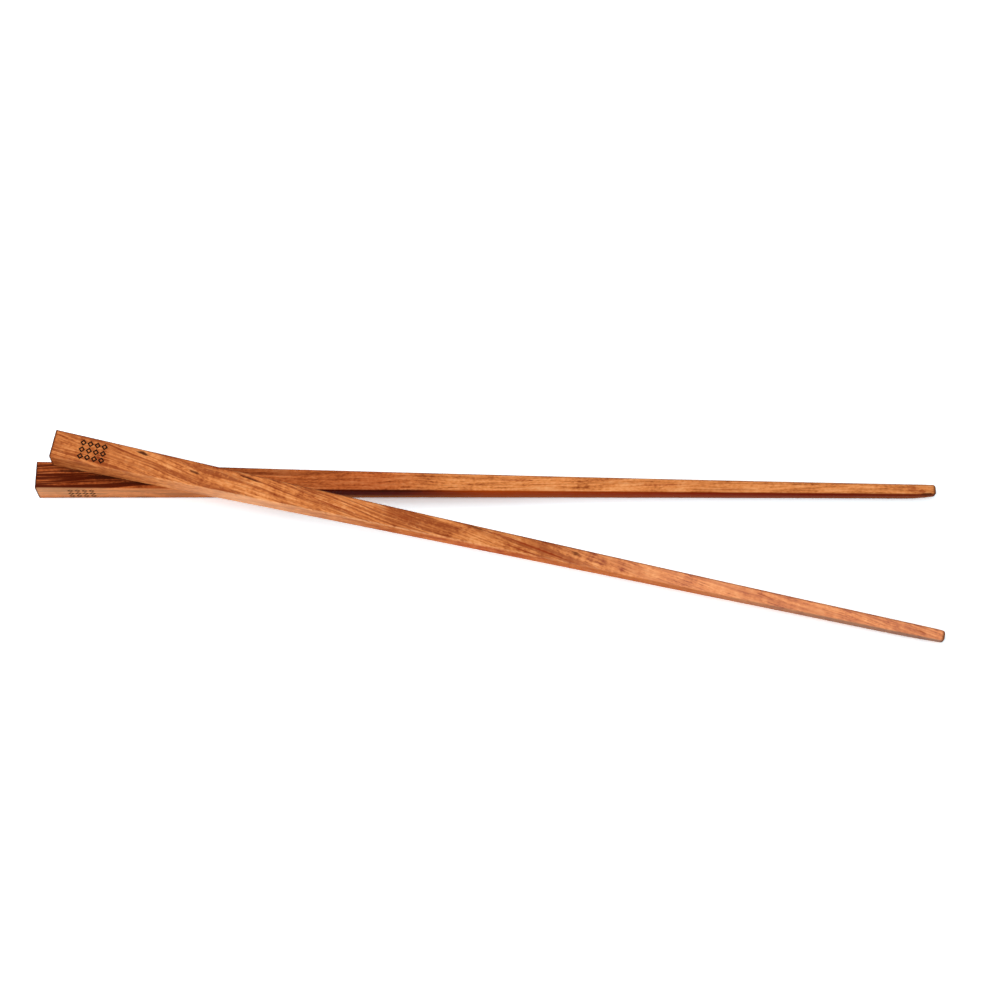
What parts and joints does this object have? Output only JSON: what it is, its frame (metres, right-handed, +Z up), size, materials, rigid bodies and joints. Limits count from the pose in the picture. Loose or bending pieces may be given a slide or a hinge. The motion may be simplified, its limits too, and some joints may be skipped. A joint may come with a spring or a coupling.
{
  "type": "pair of chopsticks",
  "caption": "Tapered square wooden chopsticks with rounded edges and a burnt lozenge lattice near the handle end, lying crossed, one resting slantwise on the other.",
  "frame": {"origin": "on the table, at the middle of the lower chopstick's flat underside", "axes": "+X along the lower chopstick from handle end to tip, -Y the near side, +Z up from the table"},
  "size_m": [0.2407, 0.0525, 0.0161],
  "materials": {
    "lower_wood": "satin, fine-grained reddish hardwood",
    "upper_wood": "satin, fine-grained golden hardwood"
  },
  "bodies": {
    "root": {"lower_chopstick": "lower_wood", "upper_chopstick": "upper_wood"}
  },
  "joints": []
}
